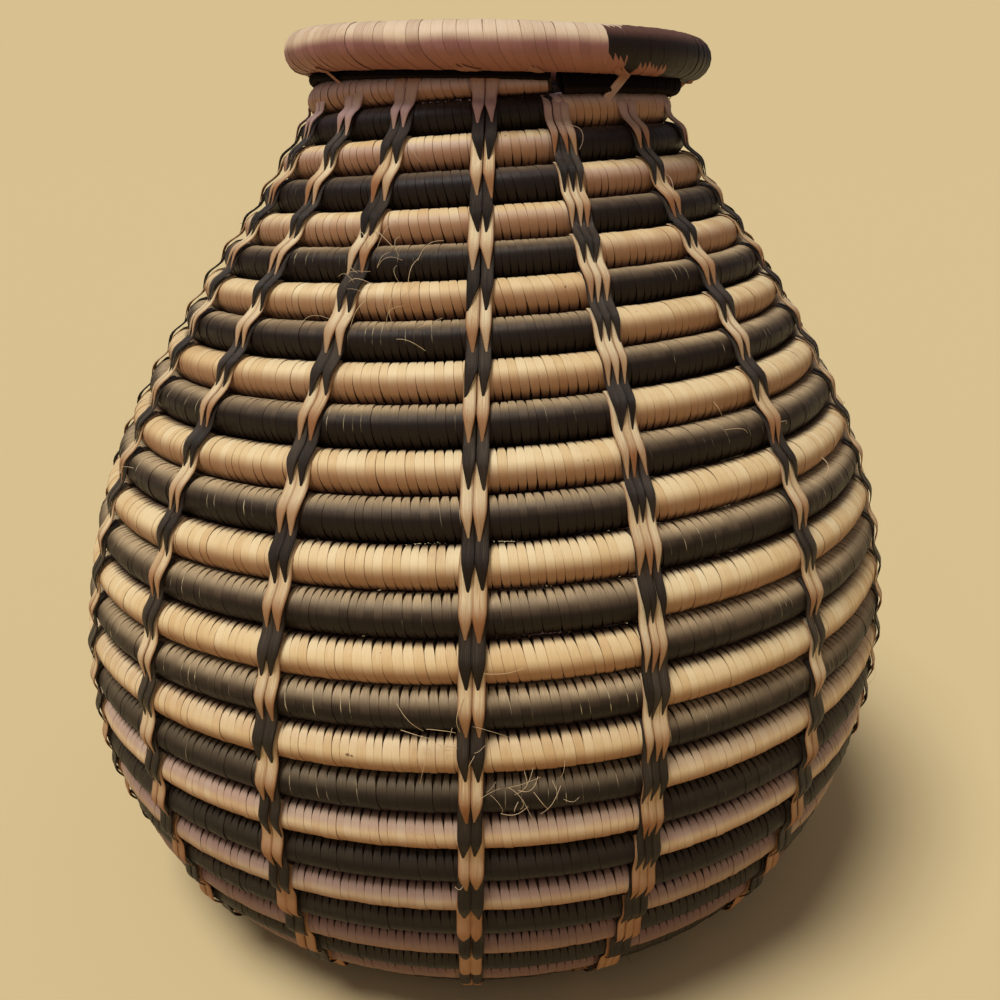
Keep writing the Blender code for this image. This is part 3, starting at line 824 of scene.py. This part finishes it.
def wall_frame(angle, turn):
    """Centre line point, outward and sideways directions and half pitch of the wall."""
    known = min(max(turn, 0.0), WALL_TURNS - WALL_TOP_MARGIN)
    here = placed(angle, *plain_profile(known))
    above = placed(angle, *plain_profile(known + WALL_STEP)) - here
    aside = (placed(angle + WALL_STEP, *plain_profile(known)) - here).normalized()
    outward = aside.cross(above).normalized()
    low = placed(angle, *plain_profile(max(known - 0.5, 0)))
    high = placed(angle, *plain_profile(min(known + 0.5, WALL_TURNS)))
    half = (high - low).length / 2
    return here + above.normalized() * (turn - known) * 2 * half, outward, aside, half


def stitch_line(angle, top, offset, half_width, rng):
    """Centre line, outward directions and half widths of one stitch."""
    points, outwards, halves = [], [], []
    shift = rng.normal(0, STITCH_SHIFT)
    stretch = rng.normal(1.0, STITCH_STRETCH)
    wide = rng.normal(STITCH_WIDTH_SHARE, STITCH_WIDTH_UNEVENNESS)
    tip = rng.normal(0, TIP_SHIFT)
    flare = TOP_FLARE if top > WALL_TURNS - 1 else 0.0
    for down, width, lift in STITCH_COURSE:
        down = down if down < 1 else 1 + (down - 1) * stretch
        centre, outward, aside, half = wall_frame(angle, top - down)
        swell = 1 - GROOVE_SHARE + GROOVE_SHARE * math.cos(2 * math.pi * down)
        spread = 1 + flare * max(FLARE_END - down, 0.0)
        sideways = offset * spread + shift + tip * max(down - TIP_START, 0.0) * 2
        point = centre + outward * (half * swell + lift) + aside * sideways
        point.z = max(point.z, LOWEST_POINT)
        points.append(point)
        outwards.append(outward)
        halves.append(half_width * width * wide * spread)
    return points, outwards, halves


STRAP_TREE = strap_tree()
STRAP_OUTLINE = strap_section()
STITCH_STRAW = ((0.0, (0.93, 0.77, 0.50, 1)), (0.5, (0.80, 0.59, 0.33, 1)), (1.0, (0.46, 0.24, 0.10, 1)))
STITCH_DYE = (
    (0.0, (0.115, 0.085, 0.058, 1)), (0.5, (0.048, 0.033, 0.023, 1)), (1.0, (0.014, 0.009, 0.006, 1)),
)
# The points' colours are browner palm and painted shade in one; the tops' and the lashings' colours are
# painted shade
LIGHT_POINT_AND_SHADE = (0.34, 0.140, 0.055, 1)
DARK_POINT_AND_SHADE = (0.016, 0.010, 0.007, 1)
LIGHT_TOP_SHADE = (0.36, 0.22, 0.24, 1)
DARK_TOP_SHADE = (0.020, 0.013, 0.015, 1)
TIED_SHADE = (0.34, 0.145, 0.088, 1)
# Heights between which the top stitches, the lashings and the low stitches get their colour of painted
# shade
STITCH_TOP_SHADE_HEIGHTS = (0.226, 0.235)
TIED_SHADE_HEIGHTS = (0.2400, 0.2425)
LOW_STITCH_SHADE_HEIGHTS = (0.105, 0.045)
STITCH_RELIEF = 0.0004
STITCH_SHINE = 0.18


def stitch_palm(name, stops, point, top, roughness):
    """Palm of the long stitches, with fibres along them and a browner point that is in part painted shade;
    painted shade on the top rows, on the lashings and low down.
    """
    material, palm = new_material(name)
    tone, run = palm.carried("tone"), palm.carried("run")
    _, across, _ = palm.carried("strip", 1).parts()
    fibres = palm.combined(across * 9.0, tone * 57.0, run * 1.5).noise(FIBRE_SCALE, 6.0, 0.66)
    _, _, height = palm.place().parts()
    mixed = (tone * 0.40 + (fibres - 0.5) * 2.8 + 0.28).ramp(stops)
    colour = mixed.under(
        (abs(across).between(0.45, 1.0) * 0.75, point),
        # Browner point, in part painted shade where it lies on the lower half of the row below
        (run.between(0.36, 0.70) * (0.50 + tone * 0.5), point),
        # Painted shade: rose or black on the top rows, and reddish brown on the lashings under the rim
        (height.between(*STITCH_TOP_SHADE_HEIGHTS) * 0.80, top),
        (height.between(*TIED_SHADE_HEIGHTS) * 0.95, TIED_SHADE),
        # Painted shade: low stitches darker
        (height.between(*LOW_STITCH_SHADE_HEIGHTS) * 0.85, point),
    )
    return dress(material, colour, roughness - fibres * 0.18, fibres, 0.7, STITCH_RELIEF, STITCH_SHINE)


LIGHT_STITCH = stitch_palm("natural_stitch", STITCH_STRAW, LIGHT_POINT_AND_SHADE, LIGHT_TOP_SHADE, 0.60)
DARK_STITCH = stitch_palm("dyed_stitch", STITCH_DYE, DARK_POINT_AND_SHADE, DARK_TOP_SHADE, 0.46)


def strapped(name, straps, material, last_run, flatness, rng):
    """One piece from the lines of many straps of the same number of points."""
    lines = [points for points, _, _ in straps]
    count = len(lines[0])
    start = path_mesh(
        f"{name}_way", lines,
        outward=[outward for _, outwards, _ in straps for outward in outwards],
        half=[half for _, _, halves in straps for half in halves],
        tone=np.repeat(rng.random(len(lines)), count),
        run=np.tile(np.linspace(0, last_run, count), len(lines)),
    )
    return grown(name, start, STRAP_TREE, {
        "Section": STRAP_OUTLINE, "Flatness": flatness, "Strip": material,
    })


for number, angle in enumerate(rib_angles(), start=1):
    rng = np.random.default_rng(number)
    share = ((angle - SEAM_ANGLE) / 360) % 1
    count, spacing, half_width = SEAM_STITCHES if share == 0 else PLAIN_STITCHES
    lots = {"light": [], "dark": []}
    for top in (row + share for row in range(WALL_TURNS) if row + share >= LOWEST_STITCH):
        aside = rng.normal(0, PAIR_SHIFT)
        for index in range(count):
            offset = (index - (count - 1) / 2) * spacing + aside
            line = stitch_line(math.radians(angle), top, offset, half_width, rng)
            lots[row_shade(math.floor(top))].append(line)
    for shade, palm, palm_slot in (
        ("light", LIGHT_STITCH, "natural_palm"), ("dark", DARK_STITCH, "dyed_palm"),
    ):
        rib = strapped(f"rib_{number:02d}_{shade}_stitches", lots[shade], palm, 1.0, STITCH_FLATNESS, rng)
        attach(rib, "root")
        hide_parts(f"rib_{number:02d}")

# The thin last turn of the coil, in dyed strip. It fills the space between the
# last row and the rim, and shows as a dark line under the rim. Its strip is
# matt, and painted nearly black as the shade under the rim.
RIM_RADIUS = 0.0554
RIM_HALF = 0.0057
# The rim's tilts in degrees, towards +X and away from the front
RIM_TILT = -0.9
RIM_BACK_TILT = 2.0
SEAT_STEPS = 90
SEAT_SEED = 59
SEAT_SHINE = 0.02
rim_low, rim_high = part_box("rim_core")
RIM_CENTRE = (rim_low + rim_high) / 2


def rim_point(angle):
    """Centre of the rim bundle at an angle in radians."""
    across, back = RIM_RADIUS * math.sin(angle), -RIM_RADIUS * math.cos(angle)
    rise = math.tan(math.radians(RIM_TILT)) * across + math.tan(math.radians(RIM_BACK_TILT)) * back
    return RIM_CENTRE + Vector((across, back, rise))


def seat_way():
    """Frames and half thicknesses of the thin turn, from the room that it has."""
    frames, halves = [], []
    for turn in np.linspace(WALL_TURNS - 1 + NEXT_TURN_STEP, WALL_TURNS - NEXT_TURN_STEP, SEAT_STEPS):
        below, along, _ = coil_frame(turn)
        around = below - RIM_CENTRE
        above = rim_point(math.atan2(around.x, -around.y))
        low = half_thickness(turn)
        room = (above - below).length - low - RIM_HALF
        up = (above - below).normalized()
        frames.append((below + up * (low + room / 2), along, along.cross(up).normalized()))
        halves.append(room / 2)
    return frames, halves


# A matt copy of the dyed strip for the shaded seat; its near black is painted shade
SEAT_PALM = strip_palm("shaded_dyed_strip", dyed_colour, 0.86, 0.10, 0.4, shine=SEAT_SHINE)
seat = wrapped_along("rim_seat_wrapping", *seat_way(), SEAT_PALM, SEAT_SEED, STRIP_WIDTH, WALL_RING)
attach(seat, "root")
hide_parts("rim_seat_dark")

# The rim: one thick bundle of grass bent to a ring and wrapped in wide palm
# strip, undyed for most of the way. On the right the strip is narrow and dyed,
# and its dye begins and ends on a slant, so that it meets the undyed in teeth.
RIM_STRIP_WIDTH = 0.0027
DYED_RIM_STRIP_WIDTH = 0.0015
RIM_LOWER_LEAN = 0.0034
DYED_RIM_LOWER_LEAN = 0.0004
RIM_EDGE_DEPTH = 0.009
RIM_SPREAD = 0.115
DARK_RIM_START = 26.0
DARK_RIM_END = 109.0
RIM_STEP = 0.5
RIM_RING_SIDES = 18
RIM_CORE_SHARE = 0.94
RIM_FULLNESS = 0.985
# Waves of the bundle's thickness: how many, their phase, their share of it
RIM_WAVES = ((3, 0.6, 0.012), (7, 2.0, 0.010))
DIRECTION_STEP = 0.01
# Along the dyed part, in degrees: angle on the rim, then where on the bundle's
# section, from its front upwards, the dyed face begins and ends
DYED_FACES = (
    (20.0, -20, 60), (31.6, -26, 64), (32.2, -200, 74), (35.0, -200, 200),
    (35.5, -40, 200), (46.6, -46, 200), (47.2, -200, 200), (130.0, -200, 200),
)
FACE_LIMIT = 200
LOWER_DYED_FACE = -88
TOOTH_ANGLE = 20
FACE_UNEVENNESS = 9
# Painted light and shade: cream on the lit top, reddish tan on the shaded front, brown underneath
RIM_LIT_TOP = ((0.0, (0.82, 0.66, 0.46, 1)), (0.5, (0.70, 0.51, 0.34, 1)), (1.0, (0.40, 0.24, 0.15, 1)))
RIM_SHADED_FRONT = (
    (0.0, (0.40, 0.185, 0.160, 1)), (0.5, (0.275, 0.115, 0.104, 1)), (1.0, (0.150, 0.048, 0.032, 1)),
)
RIM_UNDERSIDE_SHADE = (0.29, 0.112, 0.068, 1)
RIM_JOINT = (0.14, 0.055, 0.030, 1)
RIM_BLACK = (0.016, 0.009, 0.007, 1)
SHEEN_BROWN = (0.20, 0.085, 0.060, 1)
RIM_PATCH_SCALE = 24.0


def rim_way(first, last):
    """Frames of the rim between two angles in degrees, and the half thickness along it."""
    angles = np.radians(np.arange(first, last + RIM_STEP / 2, RIM_STEP))
    frames = []
    for angle in angles:
        along = (rim_point(angle + DIRECTION_STEP) - rim_point(angle - DIRECTION_STEP)).normalized()
        frames.append((rim_point(angle), along, along.cross(Vector((0, 0, 1))).normalized()))
    uneven = sum(np.sin(angles * count + phase) * share for count, phase, share in RIM_WAVES)
    return frames, RIM_HALF * (RIM_FULLNESS + uneven)


def rim_colour(palm, values):
    """Painted light and shade: cream on the lit top, a reddish tan of painted shade from the front
    downwards, browner underneath; darker joints.
    """
    tone, drift, _, upward, across, fibres = values
    mellow = palm.place().noise(RIM_PATCH_SCALE, 2.0)
    shade = tone * 0.35 + drift * 0.10 + mellow * 0.45 + (fibres - 0.5) * 0.8
    turned = upward + (mellow - 0.5) * 0.95 + (fibres - 0.5) * 0.5
    # Painted light and shade: the lit top gives way to the shaded front, and painted shade underneath
    colour = palm.blend(turned.between(0.45, -0.06), shade.ramp(RIM_LIT_TOP), shade.ramp(RIM_SHADED_FRONT))
    return colour.under(
        (turned.between(-0.05, -0.75) * 0.75, RIM_UNDERSIDE_SHADE),
        (abs(across).between(0.44, 0.50) * (0.15 + tone * 0.55), RIM_JOINT),
    )


def rim_dyed_colour(palm, values):
    """Dyed strip whose dye stops on a slant, so that undyed strip shows in teeth."""
    tone, _, outward, upward, across, fibres = values
    x, y, _ = palm.place().parts()
    around = palm.maths("ARCTAN2", x - RIM_CENTRE.x, 0 - y) * (180 / math.pi)
    turned = palm.maths("ARCTAN2", upward, outward) * (180 / math.pi)
    turned = turned + across * TOOTH_ANGLE + (tone - 0.5) * FACE_UNEVENNESS
    first, span = DYED_FACES[0][0], DYED_FACES[-1][0] - DYED_FACES[0][0]
    sides = []
    for column in (1, 2):
        levels = [(face[column] + FACE_LIMIT) / (2 * FACE_LIMIT) for face in DYED_FACES]
        stops = [((face[0] - first) / span, (level,) * 3 + (1,)) for face, level in zip(DYED_FACES, levels)]
        sides.append(((around - first) * (1 / span)).ramp(stops) * (2 * FACE_LIMIT) - FACE_LIMIT)
    dyed = ((turned > sides[0]) * (turned < sides[1])).most(turned < LOWER_DYED_FACE)
    # Painted sheen: brown on the upper side of the dyed strip
    dyed_sheen = palm.blend(upward.between(0.30, 0.85) * (0.3 + fibres * 0.6), RIM_BLACK, SHEEN_BROWN)
    return palm.blend(dyed, rim_colour(palm, values), dyed_sheen)


RIM_PALM = strip_palm("natural_rim_strip", rim_colour, 0.58, 0.16, 0.4)
RIM_DYED_PALM = strip_palm("dyed_rim_strip", rim_dyed_colour, 0.50, 0.15, 0.45, shine=DYED_SHINE)
round_line = [(360 / RIM_RING_SIDES * side, 1.0, 0.0) for side in range(RIM_RING_SIDES)]
RIM_RING = strip_ring("rim_ring", round_line, RIM_EDGE_DEPTH)

frames, halves = rim_way(0, 360)
rim_path = path_mesh("rim_grass_way", [[here for here, _, _ in frames]], half=halves)
rim_bundle = grown("rim_grass", rim_path, BUNDLE_TREE, {
    "Sides": CORE_SIDES * 2, "Thickness": RIM_CORE_SHARE, "Grass": GRASS,
})
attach(rim_bundle, "root")
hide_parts("rim_core")
for label, first, last, palm, palm_slot, width, lean, seed in (
    (
        "dark", DARK_RIM_START, DARK_RIM_END, RIM_DYED_PALM, "dyed_palm",
        DYED_RIM_STRIP_WIDTH, DYED_RIM_LOWER_LEAN, 60,
    ),
    (
        "light", DARK_RIM_END, DARK_RIM_START + 360, RIM_PALM, "natural_palm",
        RIM_STRIP_WIDTH, RIM_LOWER_LEAN, 61,
    ),
):
    frames, halves = rim_way(first, last)
    rim = wrapped_along(
        f"rim_{label}_wrapping", frames, halves, palm, seed, width, RIM_RING, lean, RIM_SPREAD
    )
    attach(rim, "root")
    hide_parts(f"rim_wrap_{label}")
for ring in (WALL_RING, RIM_RING):
    bpy.data.objects.remove(ring)

# Lashings of undyed strip, of two strands each. They come out of the rim's
# wrapping on its underside, pass the thin dark turn and go into the last row.
FRONT_TIE_ANGLES = (-54.5, -10.5, 7.1, 30.0)
TIE_STRANDS = 2
TIE_SPACING = 0.0014
TIE_HALF_WIDTH = 0.0009
TIE_FLATNESS = 0.16
TIE_LIFT = 0.0003
TIE_DEPTH = 0.0009
TIE_SLIDE = 0.0012
TIE_SLIDE_UNEVENNESS = 0.0002
TIE_SEED = 100
TIE_LAST_RUN = 0.55
# Where a strand lies on the rim's section, in degrees up from its outer side,
# and how much further under it the back ones lie
TIE_RIM_PLACES = (-54, -62, -70, -78)
BACK_TIE_TUCK = -30
# Then on the last row: how far up, in rows, and how far out, as a share of its half
TIE_ROW_PLACES = ((0.34, 1.02), (0.14, 0.85))


def tie_places():
    """Angle and tuck of each lashing: the front ones as seen, the rest between ribs."""
    ribs = rib_angles()[len(FRONT_RIB_ANGLES) - 1:]
    back = [(low + high) / 2 for low, high in zip(ribs[::2], ribs[1::2])]
    return [*((angle, 0) for angle in FRONT_TIE_ANGLES), *((angle, BACK_TIE_TUCK) for angle in back)]


def tie_line(angle, offset, tuck, rng):
    """One strand of a lashing, from the rim's underside down onto the last row."""
    turned = math.radians(angle)
    centre = rim_point(turned)
    away = Vector((math.sin(turned), -math.cos(turned), 0))
    aside = Vector((math.cos(turned), math.sin(turned), 0))
    points, outwards = [], []
    slide = rng.normal(TIE_SLIDE, TIE_SLIDE_UNEVENNESS)
    for step, place in enumerate(np.radians([place + tuck for place in TIE_RIM_PLACES])):
        outward = away * math.cos(place) + Vector((0, 0, math.sin(place)))
        reach = RIM_HALF - TIE_DEPTH if step == 0 else RIM_HALF + TIE_LIFT
        points.append(centre + outward * reach + aside * (offset + slide * step))
        outwards.append(outward)
    top = WALL_TURNS - 1 + ((angle - SEAM_ANGLE) / 360) % 1
    for above, reach in TIE_ROW_PLACES:
        here, outward, _, half = wall_frame(turned, top + above)
        points.append(here + outward * half * reach + aside * (offset + slide * len(TIE_RIM_PLACES)))
        outwards.append(outward)
    return points, outwards, [TIE_HALF_WIDTH] * len(points)


for number, (angle, tuck) in enumerate(tie_places(), start=1):
    rng = np.random.default_rng(TIE_SEED + number)
    spread = [(index - (TIE_STRANDS - 1) / 2) * TIE_SPACING for index in range(TIE_STRANDS)]
    strands = [tie_line(angle, offset, tuck, rng) for offset in spread]
    # The lashings' reddish brown, from the stitch palm, is painted shade under the rim
    tie = strapped(f"rim_tie_{number:02d}_strands", strands, LIGHT_STITCH, TIE_LAST_RUN, TIE_FLATNESS, rng)
    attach(tie, "root")
    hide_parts(f"rim_tie_{number:02d}")
bpy.data.objects.remove(STRAP_OUTLINE)

# Loose fibres: fine hairs that have frayed from the edges of the strip and
# stand a little off the rows.
HAIR_SEED = 7
# How many, between which angles in degrees, between which turns
HAIR_SPOTS = (
    (45, -180, 180, 3, 26.4),
    (12, -6, 1, 12.0, 12.8),
    (16, 1.5, 9.5, 10.6, 11.5),
    (20, -28, -9, 20.6, 23.6),
)
HAIR_HALF = 0.00007
HAIR_HALF_SHARES = (0.45, 1.05)
HAIR_POINTS = 9
HAIR_SIDES = 5
HAIR_LENGTHS = (0.003, 0.011)
HAIR_BEND = 1.1
# How far a hair's middle stands off, and how much more a longer one does
HAIR_LIFT = 0.0009
HAIR_LIFT_GROWTH = 120
HAIR_REACH_SHARE = 1.02


def hair_line(rng, low_angle, high_angle, low_turn, high_turn):
    """A curled hair that lies near the wall, its ends on the rows."""
    angle = math.radians(rng.uniform(low_angle, high_angle))
    turn = rng.uniform(low_turn, high_turn)
    length, bend = rng.uniform(*HAIR_LENGTHS), rng.normal(0, HAIR_BEND)
    heading = rng.uniform(0, 2 * math.pi)
    here, outward, aside, half = wall_frame(angle, turn)
    upward = outward.cross(aside)
    points = []
    place = Vector((0.0, 0.0))
    for step in range(HAIR_POINTS):
        share = step / (HAIR_POINTS - 1)
        turned = heading + bend * share
        place += Vector((math.cos(turned), math.sin(turned))) * length / HAIR_POINTS
        rise = math.sin(share * math.pi) * HAIR_LIFT * (1 + length * HAIR_LIFT_GROWTH)
        away = outward * (half * HAIR_REACH_SHARE + rise)
        points.append(here + aside * place.x + upward * place.y + away)
    return points


rng = np.random.default_rng(HAIR_SEED)
hairs = [hair_line(rng, *spot) for count, *spot in HAIR_SPOTS for _ in range(count)]
halves = rng.uniform(*HAIR_HALF_SHARES, len(hairs)) * HAIR_HALF
hair_ways = path_mesh("fibre_ways", hairs, half=np.repeat(halves, HAIR_POINTS))
fibres = grown("loose_fibres", hair_ways, BUNDLE_TREE, {
    "Sides": HAIR_SIDES, "Thickness": 1.0, "Grass": NATURAL_PALM,
})
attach(fibres, "root")

# The floor, a plain warm sheet that runs out of view, and the soft light of a
# studio: one large lamp above on the left, a weak one in front, and a pale room.
BACKDROP = (0.687, 0.527, 0.279, 1.0)
FLOOR_SIZE = 60.0
ROOM_COLOUR = (1.0, 0.93, 0.94, 1.0)
ROOM_STRENGTH = 0.19
# Each lamp: where it shines from, its strength, its width in degrees, its colour
LAMPS = {
    "lamp_above": ((-0.30, -0.26, 0.92), 2.78, 24, (0.962, 0.982, 0.980)),
    "lamp_front": ((0.0, -0.9, 0.35), 0.25, 90, (1.0, 0.90, 0.88)),
}
# The camera: its place, how many degrees it looks down, its lens and sensor in mm
CAMERA_PLACE = (0.0068, -0.3219, 0.2229)
CAMERA_DIP = 18.50
CAMERA_LENS = 36.72
CAMERA_SENSOR = 36.0
CAMERA_NEAR = 0.01


def floor_material():
    """Plain matt floor."""
    material = bpy.data.materials.new("plain_floor")
    material.use_nodes = True
    shader = material.node_tree.nodes["Principled BSDF"]
    shader.inputs["Base Color"].default_value = BACKDROP
    shader.inputs["Roughness"].default_value = 1.0
    shader.inputs["Specular IOR Level"].default_value = 0.0
    return material


bpy.ops.mesh.primitive_plane_add(size=FLOOR_SIZE)
floor = bpy.context.object
floor.name = "floor"
floor.data.materials.append(floor_material())

world = bpy.data.worlds.new("room")
world.use_nodes = True
bpy.context.scene.world = world
room = Socket(world.node_tree)
soft = room.node("ShaderNodeBackground", None, {0: ROOM_COLOUR, 1: ROOM_STRENGTH})
seen = room.node("ShaderNodeBackground", None, {0: BACKDROP, 1: 1.0})
both = room.node("ShaderNodeMixShader", None, {0: room.node("ShaderNodeLightPath"), 1: soft, 2: seen})
world.node_tree.links.new(both.output, world.node_tree.nodes["World Output"].inputs[0])


def lamp(name, towards, strength, spread, colour):
    """A distant lamp that shines from the direction given."""
    light = bpy.data.lights.new(name, "SUN")
    light.energy = strength
    light.angle = math.radians(spread)
    light.color = colour
    item = bpy.data.objects.new(name, light)
    item.rotation_euler = Vector(towards).to_track_quat("Z", "Y").to_euler()
    bpy.context.scene.collection.objects.link(item)


for name, values in LAMPS.items():
    lamp(name, *values)

camera = bpy.data.objects.new("camera", bpy.data.cameras.new("camera"))
camera.location = CAMERA_PLACE
camera.rotation_euler = (math.radians(90 - CAMERA_DIP), 0, 0)
camera.data.lens = CAMERA_LENS
camera.data.sensor_width = CAMERA_SENSOR
camera.data.clip_start = CAMERA_NEAR
bpy.context.scene.collection.objects.link(camera)
bpy.context.scene.camera = camera
bpy.context.scene.view_settings.view_transform = "Standard"
